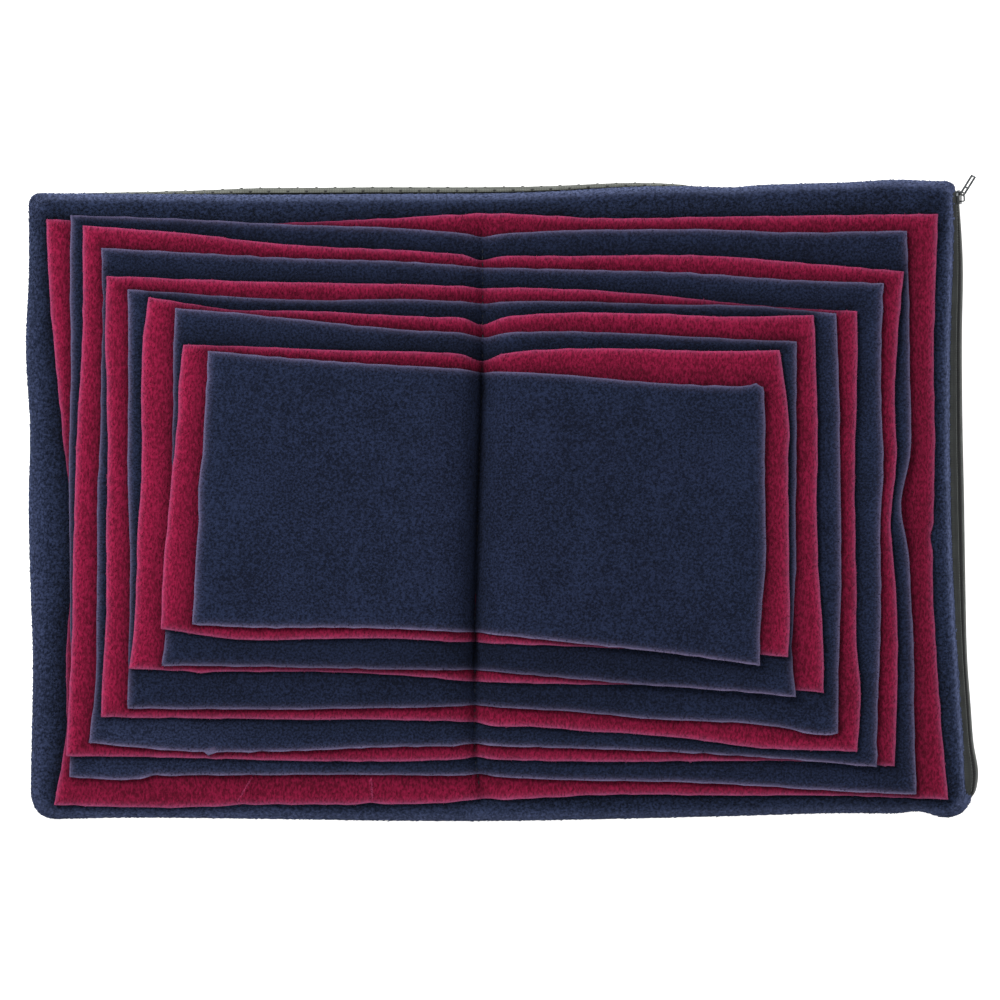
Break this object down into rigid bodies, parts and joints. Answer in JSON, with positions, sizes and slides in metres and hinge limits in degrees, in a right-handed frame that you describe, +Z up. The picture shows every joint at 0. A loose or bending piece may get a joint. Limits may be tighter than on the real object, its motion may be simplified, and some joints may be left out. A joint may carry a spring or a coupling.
{
  "type": "snuffle book",
  "caption": "Padded fleece snuffle mat laid open like a book: stacked fleece pages sewn down one spine onto a soft base with an anti-slip underside and a side zip.",
  "frame": {"origin": "middle of the whole book's footprint, on the surface that it lies on", "axes": "+X along the long side of the open book, towards the zip; +Y towards the top edge, where the underside shows; +Z up out of the pages"},
  "size_m": [0.6099, 0.414, 0.0493],
  "materials": {
    "base_fleece": "napped long-pile fleece",
    "navy_fleece": "napped fleece",
    "red_fleece": "napped fleece",
    "underside": "anti-slip dotted cloth",
    "zip_tape": "woven tape",
    "zip_coil": "moulded coil",
    "zip_metal": "dark nickel"
  },
  "bodies": {
    "root": {"base_pad": "base_fleece", "underside_panel": "underside", "zip_tape_lower": "zip_tape", "zip_tape_upper": "zip_tape", "zip_coil": "zip_coil", "zip_slider": "zip_metal", "zip_pull": "zip_metal", "page_01": "red_fleece", "page_02": "navy_fleece", "page_03": "red_fleece", "page_04": "navy_fleece", "page_05": "red_fleece", "page_06": "navy_fleece", "page_07": "red_fleece", "page_08": "navy_fleece", "page_09": "red_fleece", "page_10": "navy_fleece"}
  },
  "joints": []
}
